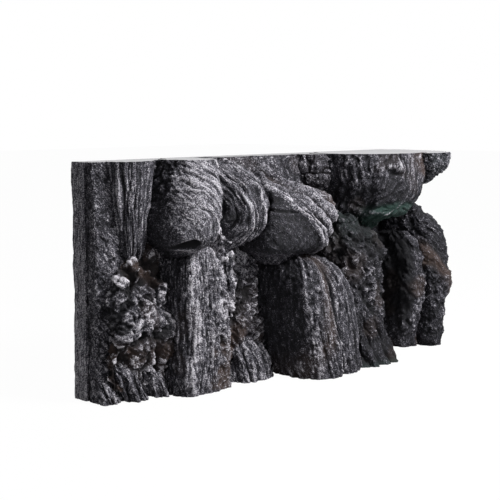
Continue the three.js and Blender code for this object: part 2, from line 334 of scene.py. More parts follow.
class Skin:
    """A casting's smooth surface as a grid of rows (up) and columns (round), in wall millimetres.

    Each row is the solid's section at one height: its middle, plus its half widths times its reach times the
    cosine and the sine of the direction. Ends that stay clear of the base and the top are closed by a low
    dome. The others are left open here, and closed flat after the relief is on.
    """

    def __init__(self, node, spacing):
        triangles = triangles_of(node)
        self.low, self.high = triangles.min((0, 1)), triangles.max((0, 1))
        self.foot_cut, self.head_cut = self.low[UP] < END_SNAP, self.high[UP] > TOP - END_SNAP
        self.top, self.spacing = top_of(node), spacing
        sections = measured(triangles, self.low[UP], self.high[UP])
        up, self.middle, self.half, reach = even_rows(*sections, spacing)
        along = self.middle[:, :1] + self.half[:, :1] * reach * np.cos(DIRECTIONS)
        out = self.middle[:, 1:] + self.half[:, 1:] * reach * np.sin(DIRECTIONS)
        self.along, self.out, self.turn = even_columns(along, out, spacing)
        self.up = np.repeat(up, self.along.shape[1], 1)
        if not self.foot_cut:
            self.close(0, -1)
        if not self.head_cut:
            self.close(-1, 1)
        self.wide = float(np.median(self.half[:, 0]))

    def close(self, end, sign):
        """Adds a dome at one end: rings that shrink as a cosine and rise as a sine."""
        middle, half = self.middle[end], self.half[end]
        rings = max(int(half.min() / self.spacing), 4)
        swing = np.linspace(0, math.pi / 2, rings + 1)[1:] * DOME_TURN
        tall = DOME * half.min()
        along = middle[0] + (self.along[end] - middle[0]) * np.cos(swing)[:, None]
        out = middle[1] + (self.out[end] - middle[1]) * np.cos(swing)[:, None]
        up = self.up[end] + sign * tall * np.sin(swing)[:, None]
        turn = np.repeat(self.turn[end][None], rings, 0)
        middles, halves = np.repeat(middle[None], rings, 0), np.repeat(half[None], rings, 0)
        added_rows = {"along": along, "out": out, "up": up, "turn": turn, "middle": middles, "half": halves}
        for name, added in added_rows.items():
            kept = getattr(self, name)
            joined = [added[::-1], kept] if end == 0 else [kept, added]
            setattr(self, name, np.concatenate(joined))

    def place(self):
        """Where the surface is: along, out and up."""
        return self.along, self.out, self.up

    def share(self, axis):
        """How far along its casting's box the surface lies, from 0 to 1."""
        return (self.place()[axis] - self.low[axis]) / (self.high[axis] - self.low[axis])

    def spot(self, share_along, share_up):
        """A place on the front of the casting's box: along and up, as shares of its width and height."""
        place = self.low + (self.high - self.low) * [share_along, 0, share_up]
        return place[ALONG], place[UP]

    def push(self, place, size, shift):
        """Moves the surface near a place, given as shares of its box, fading as a bell of the given size."""
        centre = self.low + (self.high - self.low) * place
        bell = np.exp(-sum(((grid - c) / size) ** 2 for grid, c in zip(self.place(), centre)))
        self.along, self.out, self.up = [grid + bell * move for grid, move in zip(self.place(), shift)]

    def flow(self):
        """Coordinates that run with the casting: round it on a cylinder of its usual width, and up."""
        radius = self.wide
        return radius * np.cos(self.turn), radius * np.sin(self.turn), self.up

    def smooth(self, field, size):
        """The field averaged over about the given distance on the surface."""
        n = size / self.spacing
        return blur(blur(field, n, 1, True), n, 0, False)

    def normals(self):
        """Outward directions from the cross product of the grid's two differences."""
        grid = np.stack(self.place(), -1)
        round_it = np.roll(grid, -1, 1) - np.roll(grid, 1, 1)
        upward = np.gradient(grid, axis=0)
        normal = np.cross(round_it, upward)
        return normal / np.maximum(np.linalg.norm(normal, axis=-1, keepdims=True), 1e-9)


def mesh_from(name, grid, loose):
    """A closed mesh from a grid of rings with a pole at each end, with point attributes for its paint."""
    rows, columns = grid.shape[:2]
    poles = np.stack([grid[0].mean(0), grid[-1].mean(0)])
    points = from_wall(np.concatenate([grid.reshape(-1, 3), poles]))
    points = np.clip(points, LOW, HIGH)
    ring = np.arange(columns)
    after = np.roll(ring, -1)
    base = np.arange(rows - 1)[:, None] * columns
    above = base + columns
    quads = np.stack([base + ring, above + ring, above + after, base + after], -1).reshape(-1, 4)
    foot = np.stack([np.full(columns, rows * columns), ring, after], -1)
    last = (rows - 1) * columns
    head = np.stack([np.full(columns, rows * columns + 1), last + after, last + ring], -1)
    corners = np.concatenate([quads.ravel(), foot.ravel(), head.ravel()]).astype(np.int32)
    sizes = np.concatenate([np.full(len(quads), 4), np.full(2 * columns, 3)]).astype(np.int32)
    starts = np.concatenate([[0], np.cumsum(sizes)[:-1]]).astype(np.int32)
    mesh = bpy.data.meshes.new(name)
    mesh.vertices.add(len(points))
    mesh.vertices.foreach_set("co", points.astype(np.float32).ravel())
    mesh.loops.add(len(corners))
    mesh.loops.foreach_set("vertex_index", corners)
    mesh.polygons.add(len(sizes))
    mesh.polygons.foreach_set("loop_start", starts)
    mesh.polygons.foreach_set("loop_total", sizes)
    mesh.update(calc_edges=True)
    mesh.shade_smooth()
    mesh.set_sharp_from_angle(angle=CREASE_ANGLE)
    for key, field in loose.items():
        size = field.shape[2] if field.ndim == 3 else 1
        ends = np.stack([field[0].reshape(-1, size).mean(0), field[-1].reshape(-1, size).mean(0)])
        values = np.concatenate([field.reshape(-1, size), ends]).astype(np.float32).ravel()
        kind, slot = ("FLOAT_VECTOR", "vector") if size == 3 else ("FLOAT", "value")
        mesh.attributes.new(key, kind, "POINT").data.foreach_set(slot, values)
    return mesh


def build(skin, node, relief, paint, material):
    """Puts the relief and the paint's fields on a skin, closes its flat ends and makes it a piece.

    The relief goes out along the normals. What is raised is the relief less its own mean nearby, at a fine
    size and at a broad one. A flat end is closed by rings that shrink towards the section's middle.
    """
    name = node + "_skin"
    normal = skin.normals()
    grid = np.stack(skin.place(), -1) + normal * relief[..., None]
    grid[..., UP] = np.clip(grid[..., UP], 0, skin.top)
    fine = relief - skin.smooth(relief, FINE)
    broad = skin.smooth(relief, BROAD[0]) - skin.smooth(relief, BROAD[1])
    fields = {"raised": fine / FINE_CREST + broad / BROAD_CREST, "cut": np.zeros_like(relief)}
    for key in ("chalk", "umber", "moss", "shade"):
        fields[key] = paint.get(key, 0) * np.ones_like(relief)
    fields["flow"] = np.stack(paint.get("flow", skin.place()), -1) * MM
    for end, cut, level in ((0, skin.foot_cut, 0.0), (-1, skin.head_cut, skin.top)):
        if not cut:
            continue
        rim = grid[end].copy()
        rim[:, UP] = level
        grid[end] = rim
        core = np.append(skin.middle[end], level)
        rings = core + (rim[None] - core) * CAP_RINGS[:, None, None]
        ends = {k: np.repeat(f[end][None], len(rings), 0) for k, f in fields.items()}
        ends["cut"][:] = 1.0
        ends["flow"] = rings * MM
        order = slice(None, None, -1) if end == 0 else slice(None)
        joined = [rings[order], grid] if end == 0 else [grid, rings]
        grid = np.concatenate(joined)
        for key, f in fields.items():
            part = ends[key][order] if end == 0 else ends[key]
            fields[key] = np.concatenate([part, f] if end == 0 else [f, part])
    piece = bpy.data.objects.new(name, mesh_from(name, grid, fields))
    bpy.context.scene.collection.objects.link(piece)
    piece.data.materials.append(material)
    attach(piece, "root")
    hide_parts(node)


# ---------------------------------------------------------------- relief
#
# A casting's function takes its skin and gives the relief in millimetres and the fields of its paint. The
# chalk field holds dry brushing together with painted light and painted shade, and the shade field holds
# painted shade. After the place, a noise takes its size, and fibre its spacing and run, all in millimetres,
# then the number of octaves, and the seed comes last. Turns start at the right: the front is at 1.6 and the
# left flank at 3.1.


def creased(place, size, number, seed):
    """Rounded lumps parted by sharp creases: the absolute value of noise, octave on octave.

    Taken away instead of added, it gives thin crests round hollows.
    """

    def lumps(octave):
        return 3.2 * np.abs(noise(scaled(place, 2.03**octave / size), seed + 13 * octave)) - 0.85

    return octaves(number, 0.55, lumps)


def fibre(place, spacing, run, number, seed):
    """Split grain: creased noise drawn out along the grain, which wanders. Round ribs, sharp grooves.

    The place is across the grain, through it and along it. Ribs lie a spacing apart and last for a run.
    """
    across, through, along = place
    wide = 2.5 * spacing
    wander = noise((across / wide, through / wide, 3 * along / run), seed + 41)
    across = across + 0.9 * spacing * wander

    def ribs(octave):
        scale = 2.1**octave / spacing
        place = (across * scale, through * scale, along * 1.7**octave / run)
        return 2.4 * np.abs(noise(place, seed + 13 * octave)) ** 0.7 - 0.85

    return octaves(number, 0.62, ribs)


def knobs(place, size, seed):
    """Rounded knobs over scattered points, with the noise's own bends, cut by a crease where two meet."""
    x, y, z = place
    x = x + 0.6 * size * soft((x, y, z), size, seed + 31)
    z = z + 0.6 * size * soft((x, y, z), size, seed + 32)
    near, second = cells((x, y, z), size, seed)
    return 0.75 - 1.5 * near**2 - 0.7 * bump(second - near, 0, 0.11)


def rock(place, seed):
    """What every casting has: broad swells, a broken surface, and pits the size of a pin's head."""
    swell = 2.2 * cloud(place, 34, 2, seed)
    broken = 0.5 * creased(place, 11, 3, seed + 3) - 0.8 * creased(place, 8, 3, seed + 4)
    lump = 0.45 * cloud(place, 3.4, 2, seed + 6)
    pit = step(0.3, 0.6, soft(place, 2.4, seed + 9))
    return swell + broken + lump - 0.6 * pit


def notch(offset, half, edge):
    """1 within half a width of a line, 0 outside it, with an edge of the given width."""
    return fall(half - edge / 2, half + edge / 2, np.abs(offset))


def clefts(across, period):
    """Straight clefts, one to each period: how far the surface sinks into them, and how dark they are painted
    as shade.

    Both come from the absolute value of a sine, which is 0 in the cleft: its sharp root, and a step.
    """
    wave = np.abs(np.sin(np.pi * across / period))
    return 1 - wave**0.4, fall(0.0, 0.35, wave)


def hanging_column(skin):
    """Fibres that hang down and draw together towards the tip."""
    here = skin.place()
    flow = a, b, c = skin.flow()
    relief = 2.4 * fibre(flow, 9, 120, 2, 11) + 1.8 * fibre(flow, 3.6, 60, 2, 12) + 0.5 * rock(here, 13)
    chalk = 0.25 * step(0.1, 0.6, soft(here, (9, 9, 40), 14)) - 0.12 - 0.2 * bump(skin.share(UP), 1.0, 0.12)
    return relief, {"chalk": chalk, "flow": (a, b, c / 7)}


def overhang_boulder(skin):
    """Strata arch over the boulder, as rings about a point at its lower left.

    Its upper left crumbles. Under the strata is a smooth chin, darkened as painted shade, with a slit like a
    mouth, which sags at both ends and is painted black as shade, and a lip below it. Painted light brightens
    its front and right shoulder, and painted shade darkens its left side.
    """
    skin.push((1.0, 0.7, 0.25), 26, (-9, 0, 3))
    skin.push((0.1, 0.8, 0.1), 18, (-4, 3, 3))
    here = x, y, z = skin.place()
    wide, high = skin.share(ALONG), skin.share(UP)
    cx, cz = skin.spot(0.02, 0.12)
    bent = 4.5 * soft(here, 28, 3)
    ring = np.hypot(x - cx, 0.9 * (z - cz)) + bent
    sweep = 45 * np.arctan2(z - cz, x - cx)
    arch = (ring, 0.3 * y, sweep)
    upper = step(0.1, 0.6, (ring - 24) / 45)
    strata = 2.0 * fibre(arch, 7.5, 60, 3, 21) + 1.0 * fibre(arch, 3, 34, 1, 22)
    crumbly = step(0.35, 0.75, high) * step(2.4, 2.75, skin.turn + 0.03 * bent)
    relief = (0.25 + 0.75 * upper) * strata * (1 - 0.7 * crumbly) + crumbly * 2.4 * creased(here, 9, 3, 24)
    relief = relief + 0.6 * rock(here, 23) + 0.5 * upper * fibre(arch, 2.4, 30, 1, 25)
    sx, sz = skin.spot(0.26, 0.12)
    sag = 0.02 * (x - sx) ** 2
    narrow = 0.03 * (x - sx) ** 2
    front = step(55, 74, y)
    slit = notch(z - sz + sag, 3.8 - narrow, 3.0) * notch(x - sx, 7, 5) * front
    mouth = notch(z - sz + sag, 5.0 - narrow, 2.0) * notch(x - sx, 8, 5) * front
    lip = bump(x, sx + 2, 22) * bump(z - sz + 6.5 + 0.5 * sag, 0, 2.6) * front
    relief = relief - 8.5 * slit + 1.6 * lip - 2.0 * (1 - upper) * bump(x, sx - 22, 8)
    # Painted light on the right shoulder and the front facing the light; painted shade on the left flank, the
    # lower chin and the slit's mouth.
    shoulder = step(0.45, 0.8, wide) * step(0.2, 0.5, high)
    shaded_flank = step(2.6, 3.0, skin.turn)
    lit = bump(skin.turn, 2.0, 0.75) * step(0.12, 0.4, high)
    chalk = 0.2 * shoulder + 0.15 * lip + 0.45 * lit - 0.15 * (1 - upper)
    chalk = chalk - 0.45 * crumbly - 1.5 * mouth - 0.35 * shaded_flank
    return relief, {"chalk": chalk, "shade": mouth, "flow": (ring, 0.5 * y, sweep / 6)}


def folded_rock(skin):
    """Strata folded round a sunken hollow, like a curled lip, with a long groove that follows the curl.

    The strata are ovals about a point off the rock's left, bent by two sizes of noise.
    """
    here = x, y, z = skin.place()
    cx, cz = skin.spot(-0.24, 0.5)
    bent = 8 * soft(here, 30, 5) + 2.5 * soft(here, 12, 6)
    ring = 25 * np.hypot((x - cx) / 24, (z - cz) / 44) + bent
    sweep = 38 * np.arctan2(z - cz, x - cx)
    oval = (ring, 0.1 * y, sweep)
    hollow = fall(31, 47, ring)
    curl = bump(ring, 54, 9)
    strata = 2.6 * fibre(oval, 9, 130, 2, 31) + 1.0 * fibre(oval, 3.4, 40, 1, 32)
    relief = strata - 5.5 * hollow + 1.4 * curl + 0.7 * rock(here, 33)
    groove = notch(ring - 59 - 2 * soft(here, 18, 7), 1.1, 1.2)
    relief = relief - 2.4 * groove
    # Painted shade in the sunken hollow and the groove.
    chalk = 0.35 * soft(here, 15, 34) - 0.1 - 0.3 * hollow
    shade = 0.35 * hollow + 0.5 * groove
    return relief, {"chalk": chalk, "shade": shade, "flow": (ring, 0.3 * y, sweep / 10)}


def centre_boulder(skin):
    """A dark flat cheek below a slanting strap; above it, thick fingers parted by deep gaps.

    Strap and fingers lie across one slanted axis, which droops to the right. The fingers are a sine's
    absolute value on that axis without the droop.
    """
    skin.push((1.0, 0.7, 0.5), 24, (13, 3, 6))
    skin.push((0.1, 0.6, 0.95), 20, (-6, 2, 6))
    skin.push((0.35, 1.0, 0.35), 22, (0, -6, 0))
    skin.push((0.1, 0.8, 0.15), 16, (-6, 0, -4))
    here = x, y, z = skin.place()
    cx, cz = skin.spot(0.4, 0.63)
    along = 0.78 * (x - cx) - 0.62 * (z - cz)
    droop = 0.006 * np.maximum(along, 0) ** 2
    across = 0.62 * (x - cx) + 0.78 * (z - cz) + droop + 3 * soft(here, 20, 5)
    upper = step(2, 8, across)
    wave = np.abs(np.sin(np.pi * (across - droop - 3 + 2 * soft((along, y, z), (12, 20, 20), 4)) / 20))
    far = 0.3 + 0.7 * step(-16, 6, along)
    fingers = wave**0.45
    relief = upper * (13 * fingers - 9.5) * far
    strap = bump(across, 0, 6)
    seam = notch(across - 1 - 1.5 * soft((along, y, z), (11, 30, 30), 8), 1.1, 1.4)
    relief = relief + 4.2 * strap - 2.4 * seam
    lower = fall(-9, -3, across)
    crease = notch(z - cz + 4 + 0.13 * (x - cx) + 2 * soft(here, (12, 12, 30), 9), 1.6, 1.6)
    crease = crease * lower * step(0, 14, cx + 8 - x)
    relief = relief - 2.6 * crease + 1.5 * lower * bump(z - cz - 2, 0, 6) * step(0, 20, cx - x)
    relief = relief + (0.5 + 0.7 * upper) * fibre((across, 0.4 * y, along), 5, 34, 3, 42)
    relief = relief + (0.6 + 0.4 * upper) * rock(here, 43) + 0.5 * creased(here, 7, 2, 44)
    rim = fall(3, 12, z - skin.low[UP] + 0.05 * along + 2 * soft(here, 9, 45))
    chalk = 0.35 * strap + 0.2 * upper * fingers + 0.25 * rim - 0.36 * lower * (1 - rim)
    umber = 0.8 * upper * (1 - fingers) + 0.6 * step(50, 60, across)
    # Painted shade in the deep gaps between the fingers.
    gaps = upper * fall(0.0, 0.45, wave) * far
    return relief, {"chalk": chalk, "umber": umber, "shade": 0.6 * gaps, "flow": (across, 0.5 * y, along / 3)}


def terrace_ledge(skin):
    """Swirled grain that runs down and under, knobs near the left, and mossy folds along the bottom.

    The grain is the upright one, moved sideways by two sizes of noise and by the depth below the top.
    """
    here = x, y, z = skin.place()
    a, b, c = skin.flow()
    wide, high = skin.share(ALONG), skin.share(UP)
    grain = a + (20 * soft(here, 42, 3) + 7 * soft(here, 17, 4)) + 0.35 * (skin.high[UP] - z)
    relief = 2.0 * fibre((grain, b, c), 15, 110, 2, 51) + 1.8 * fibre((grain, b, c), 5.5, 80, 3, 52)
    left = fall(0.35, 0.6, wide)
    relief = relief + 1.2 * left * step(0.45, 0.7, high) * knobs(here, 19, 53)
    relief = relief + 0.7 * rock(here, 54) + 0.8 * (1 - high) * creased(here, 14, 3, 55)
    from_foot = z - skin.low[UP] + 5 * soft(here, 20, 5)
    folds = fibre((from_foot, 0.5 * y, x), 8, 60, 2, 56)
    lip = bump(from_foot, 17, 4)
    relief = relief + 2.2 * fall(18, 34, from_foot) * folds + 1.8 * lip
    right = step(0.25, 0.8, (x - skin.low[ALONG]) / 60)
    moss = right * fall(20, 32, from_foot)
    umber = step(0.6, 0.95, wide) * step(0.45, 0.8, high) + 0.4 * step(0.2, 0.6, soft(here, 22, 57))
    kx, kz = skin.spot(0.44, 0.82)
    knob = np.hypot(x - kx, z - kz) / 10 + 0.35 * soft(here, 7, 59)
    relief = relief + 4.5 * step(1.1, 0.2, knob) - 1.5 * bump(knob, 1.2, 0.2)
    # Painted shade: darker and shaded on the lower part, under the ledge's overhang.
    under = fall(0.35, 0.75, high + 0.2 * soft(here, 25, 58))
    chalk = 0.25 * right * lip - 0.4 * under - 0.15 * left + 0.05 * high
    paint = {"moss": moss, "shade": 0.25 * under, "umber": umber, "chalk": chalk}
    return relief, paint | {"flow": (grain, b, c / 8)}


def ledge_tip(skin):
    """Crumbled rock: small ragged lumps with holes between them."""
    here = skin.place()
    relief = 2.2 * creased(here, 13, 4, 61) + 1.3 * knobs(here, 6.5, 62) + 0.6 * rock(here, 63)
    return relief, {"chalk": 0.15 * soft(here, 8, 64), "moss": 0.25}


def ledge_shoulder(skin):
    """Big soft knobs with small ones on them."""
    here = skin.place()
    relief = 3.4 * knobs(here, 19, 65) + 1.2 * creased(here, 7, 3, 66) + 0.6 * rock(here, 67)
    return relief, {"chalk": -0.1, "umber": 0.3}


def left_pillar(skin):
    """A leaning slab: long grain on the left, one pale ridge, then ragged chalky lumps towards the right."""
    here = x, y, z = skin.place()
    flow = a, b, c = skin.flow()
    wide, high = skin.share(ALONG), skin.share(UP)
    ragged = step(0.35, 0.7, wide + 0.12 * soft(here, (22, 22, 30), 4))
    long = 1.8 * fibre(flow, 12, 190, 2, 71) + 2.2 * fibre(flow, 4.2, 60, 3, 72)
    lumps = 2.2 * creased((x, y, 0.8 * z), 13, 4, 73) - 1.8 * creased(here, 7, 3, 74)
    ridge = bump(skin.turn - 0.06 * np.sin(z / 14), 2.2, 0.14)
    relief = (1 - 0.6 * ragged) * long + ragged * lumps + 2.4 * ridge + 1.1 * rock(here, 75)
    # Painted shade on the left flank, turned from the light.
    shaded_flank = step(2.3, 2.65, skin.turn + 0.25 * soft(here, (20, 20, 30), 77))
    broken = step(-0.3, 0.5, soft(here, 12, 78))
    chalk = 0.35 * ridge + 0.6 * ragged * broken * step(0.25, 0.6, high) + 0.05 - 0.35 * shaded_flank
    umber = step(0.3, 0.6, wide) * fall(0.25, 0.5, high) * (1 - 0.8 * broken)
    umber = umber + 0.5 * step(0.1, 0.5, soft(here, (20, 20, 25), 76))
    return relief, {"chalk": chalk, "umber": umber * 0.8, "flow": (a, b, c / (1 + 5 * (1 - ragged)))}


def centre_pillar(skin):
    """A plain side in painted shade, a knobbly corner, then broad split ribs across the front and clefts at
    the right in painted shade.
    """
    here = skin.place()
    flow = a, b, c = skin.flow()
    high = skin.share(UP)
    place = skin.share(ALONG) + 0.05 * soft(here, (25, 25, 40), 4)
    front = step(0.08, 0.24, place)
    ribs = 3.6 * fibre(flow, 19, 240, 2, 81) + 2.0 * fibre(flow, 6.5, 110, 3, 82)
    corner = bump(place, 0.2, 0.09) + 0.35 * bump(place, 0.55, 0.12)
    edge = bump(skin.turn + 0.05 * np.sin(skin.up / 20), 2.2, 0.07)
    sunk, dark = clefts(skin.wide * skin.turn + 2 * soft(here, (12, 12, 40), 86), 22)
    right = step(1.95, 1.75, skin.turn)
    relief = (0.35 + 0.65 * front) * ribs + 1.9 * corner * creased(here, 9, 3, 84) + 1.0 * rock(here, 85)
    relief = relief + 1.6 * edge - 5.0 * right * sunk
    # Painted shade on the plain side, turned from the light, and in the clefts at the right.
    chalk = 0.06 * front - 0.36 * (1 - front) + 0.12 * corner
    chalk = chalk - 0.25 * step(0.75, 1, high) + 0.3 * edge - 0.1 * right * fall(0.2, 0.5, high)
    umber = bump(place, 0.36, 0.09) * step(0.0, 0.4, high)
    umber = umber + 0.8 * bump(place, 0.22, 0.12) * fall(0.15, 0.4, high)
    shade = 0.7 * (right * dark)
    return relief, {"chalk": chalk, "umber": 0.8 * umber, "shade": shade, "flow": (a, b, c / 6)}


def right_pillar_front(skin):
    """A dark faceted rock with faint upright grain, in painted shade on its left side by the cave, and lit a
    little on its right by painted light.
    """
    here = skin.place()
    flow = a, b, c = skin.flow()
    high = skin.share(UP)
    relief = 2.0 * fibre(flow, 14, 70, 3, 91) + 2.4 * creased(here, 24, 3, 92) + 1.1 * rock(here, 93)
    umber = 0.7 * step(0.0, 0.5, soft(here, 25, 95))
    # Painted shade on the left flank by the cave; painted light low on the right.
    dark = step(0.1, 0.4, high) * step(2.0, 2.4, skin.turn)
    lit = bump(high, 0.4, 0.3) * fall(1.7, 2.2, skin.turn)
    chalk = 0.4 * lit - 0.3 - 0.5 * dark
    return relief, {"umber": umber, "chalk": chalk, "shade": 0.8 * dark, "flow": (a, b, c / 3)}


def right_pillar_back(skin):
    """A rock with one ridge that slants down across it, rusty along its crest and chalky below."""
    here = x, y, z = skin.place()
    slant = (x - skin.low[ALONG]) * 0.75 + (z - 95) * 0.66 + 5 * soft(here, 18, 94)
    along = (x - skin.low[ALONG]) * 0.66 - (z - 95) * 0.75
    crest = bump(slant, 14, 9)
    relief = 2.4 * creased(here, 22, 4, 96) + 1.4 * fibre((slant, 0.4 * y, along), 7, 40, 3, 97)
    relief = relief + 1.0 * rock(here, 98) + 3.0 * crest
    chalk = 0.5 * bump(slant, 4, 14) * fall(0.3, 0.6, skin.share(UP)) - 0.35
    return relief, {"umber": crest, "chalk": chalk, "flow": (slant, y, along / 3)}


def rubble(size, chalk, seed):
    """Crumbled rubble: upright lumps with deep hollows, ragged lumps on them, and a few round knobs."""

    def relief_of(skin):
        here = x, y, z = skin.place()
        deep = creased((x, y, 0.6 * z), 3 * size, 2, seed)
        relief = 5.0 * deep + 2.0 * creased(here, 1.3 * size, 3, seed + 1)
        relief = relief - 1.8 * creased(here, 0.8 * size, 3, seed + 3) + 1.2 * knobs(here, size, seed + 2)
        relief = relief + 0.8 * rock(here, seed + 5)
        # Painted shade in the deep hollows.
        hollow = fall(-0.7, -0.1, deep)
        broken = step(-0.1, 0.5, soft(here, 11, seed + 6))
        umber = 0.5 * step(0.0, 0.5, soft(here, 24, seed + 4))
        paint = {"chalk": chalk * (2 * broken - 0.8) - 0.3 * hollow, "umber": umber, "shade": 0.7 * hollow}
        return relief, paint

    return relief_of


def knob_stack(skin):
    """Rubble in chalky knobs, brightened by painted light all over and palest at the top, where it stands
    clear of the boulder.
    """
    relief, paint = rubble(7, 0.35, 130)(skin)
    # Painted light: lighter all over and most at the top, with half the painted shade.
    paint["chalk"] = paint["chalk"] + 0.35 + 0.4 * step(0.6, 0.9, skin.share(UP))
    paint["shade"] = 0.5 * paint["shade"]
    return relief, paint


def left_rubble(skin):
    """Rubble with deep holes painted black as shade and chalky crests at mid height, brown above and below
    them.
    """
    relief, paint = rubble(8.5, 0.6, 140)(skin)
    high = skin.share(UP)
    low, upper = fall(0.25, 0.5, high), step(0.62, 0.85, high)
    chalk = paint["chalk"] + 0.15 + 0.45 * bump(high, 0.5, 0.13) - 0.35 * low - 0.35 * upper
    paint["chalk"] = np.minimum(chalk, 0.5)
    paint["umber"] = paint["umber"] + 0.6 * low + 0.4 * upper
    # Painted shade: black holes, also sunk into the relief.
    shaded_hole = step(0.15, 0.4, soft(skin.place(), 9, 145))
    paint["shade"] = np.minimum(paint["shade"] + 0.9 * shaded_hole, 1)
    return relief - 4.0 * paint["shade"], paint


def centre_rubble(skin):
    """Rubble between the two pillars, paler with painted light where it climbs to the folded rock."""
    relief, paint = rubble(8.5, 0.2, 150)(skin)
    # Painted light at the top, where it climbs to the folded rock, with no painted shade there.
    top = step(0.6, 0.85, skin.share(UP))
    paint["chalk"] = paint["chalk"] + 0.9 * top - 0.1
    paint["shade"] = paint["shade"] * (1 - top)
    paint["umber"] = paint["umber"] + 0.4 * (1 - top)
    return relief, paint


def right_rubble(skin):
    """Rubble that turns into leaning slabs towards its foot, mossy below the ledge, with painted shade there,
    on its right side by the cave and in its clefts.
    """
    here = x, y, z = skin.place()
    relief, paint = rubble(9, 0.12, 160)(skin)
    high = skin.share(UP)
    across = x + 0.45 * z + 3 * soft(here, 16, 168)
    sunk, dark = clefts(across + 0.3 * y, 19)
    slabs = 2.4 * fibre((across, 0.4 * y, z), 12, 100, 2, 166)
    slabs = slabs + 1.5 * fibre((across, 0.5 * y, z), 4, 40, 2, 167) - 5 * sunk
    low = fall(0.2, 0.45, high + 0.1 * soft(here, 15, 169))
    relief = relief * (1 - 0.8 * low) + low * slabs + 0.5 * low * rock(here, 165)
    # Painted shade on the right flank by the cave, on the top under the ledge and in the clefts between the
    # slabs.
    shaded_flank = step(0.55, 0.85, skin.share(ALONG))
    chalk = paint["chalk"] * (1 - low) - 0.22 - 0.35 * shaded_flank - 0.3 * low - 0.4 * step(0.6, 0.9, high)
    paint["chalk"] = chalk
    paint["moss"] = 0.5 * fall(0.0, 0.07, high) + 0.4 * step(0.75, 1, high)
    paint["shade"] = paint["shade"] * (1 - low) + 0.45 * step(0.62, 0.85, high) + 0.7 * low * dark
    return relief, paint


def foot(lean, seed):
    """A foot rock: slabs that stand side by side, split by deep straight clefts along the casting's lean."""

    def relief_of(skin):
        here = x, y, z = skin.place()
        across = x + lean * z + 2 * soft(here, 14, seed)
        sunk, dark = clefts(across + 0.4 * y, 13)
        relief = 2.0 * fibre((across, 0.3 * y, z), 9, 90, 2, seed + 1)
        relief = relief + 1.6 * fibre((across, 0.5 * y, z), 3.4, 40, 2, seed + 2)
        relief = relief + 0.8 * rock(here, seed + 3) - 3.5 * sunk
        # Painted shade in the clefts.
        chalk = 0.3 * soft(here, (10, 10, 20), seed + 4) + 0.05
        return relief, {"chalk": chalk, "shade": 0.6 * dark, "flow": (across, y, z / 5)}

    return relief_of


def left_wall(skin):
    """The ground beside the end strip: small slanted lumps, smooth and pale on the end itself."""
    here = x, y, z = skin.place()
    slanted = 0.8 * x + 0.5 * z
    drop = 0.8 * z - 0.5 * x
    end = fall(1.0, 4.0, x)
    tilted = (slanted, y, 0.6 * drop)
    lumps = 2.6 * creased(tilted, 12, 4, 101) + 1.8 * knobs(tilted, 8, 102)
    calm = 1 - 0.5 * step(0.35, 0.7, skin.share(UP))
    relief = calm * (1 - 0.7 * end) * lumps + 0.8 * rock(here, 103) + GROUND * step(4, 20, x) - 0.4 * end
    lit = step(0.0, 0.5, soft(here, 14, 104))
    return relief, {"chalk": 0.2 * lit * (1 - end) + 0.3 * end, "flow": (slanted, y, drop / 2)}


def upper_wall(skin):
    """Rough ground between the boulders: swells, ragged lumps and short grain, brown in patches."""
    here = skin.place()
    relief = 3.0 * creased(here, 26, 4, 105) + 1.4 * fibre(here, 8, 30, 3, 106) + 1.0 * rock(here, 108)
    chalk = 0.15 * soft(here, 20, 109) - 0.25 * step(0.4, 0.9, skin.share(ALONG))
    return relief + GROUND, {"chalk": chalk, "umber": 0.4 * step(0, 0.5, soft(here, 30, 110))}


def cave_wall(skin):
    """The back of the caves: the same rough ground, darkened as painted shade."""
    here = skin.place()
    return 2.4 * creased(here, 24, 4, 111) + 0.8 * rock(here, 113), {"chalk": -0.3, "shade": 0.3}


class Panel(Skin):
    """The flat back panel: a rounded rectangle in plan, fine on its two ends and coarse front and back."""

    COARSE, CORNER, BEND = 3.0, 2.5, 6  # distance between points on its front, corner radius, points in it

    def __init__(self, node, spacing):
        triangles = triangles_of(node)
        self.low, self.high = triangles.min((0, 1)), triangles.max((0, 1))
        self.foot_cut = self.head_cut = True
        self.top = top_of(node)
        self.high = self.high + [0, BED, 0]
        width, depth = (self.high - self.low)[:2]
        core = np.array([width, depth]) / 2 - self.CORNER
        sides = ((1, 0), (0, 1), (-1, 0), (0, -1))
        outline = []
        for number, (nx, ny) in enumerate(sides):
            tangent = np.array([-ny, nx])
            length = 2 * core[1 if nx else 0]
            count = max(int(length / (spacing * 0.5 if nx else self.COARSE)), LEAST_ROWS)
            ramp = (np.arange(count) / count - 0.5)[:, None] * length
            outline.append(core * [nx, ny] + self.CORNER * np.array([nx, ny]) + tangent * ramp)
            bend = (number + np.arange(self.BEND) / self.BEND) * math.pi / 2
            next_side = np.array(sides[(number + 1) % 4])
            centre = core * [nx, ny] + core * next_side
            outline.append(centre + self.CORNER * np.stack([np.cos(bend), np.sin(bend)], -1))
        ring = np.concatenate(outline)
        rows = int((self.high - self.low)[UP] / (1.6 * spacing))
        up = np.linspace(self.low[UP], self.high[UP], rows)
        middle = (self.low + self.high)[:2] / 2
        self.along = np.repeat((middle[0] + ring[:, 0])[None], rows, 0)
        self.out = np.repeat((middle[1] + ring[:, 1])[None], rows, 0)
        self.up = np.repeat(up[:, None], len(ring), 1)
        self.turn = np.arctan2(self.out - middle[1], self.along - middle[0])
        self.middle = np.repeat(middle[None], rows, 0)
        self.spacing = spacing


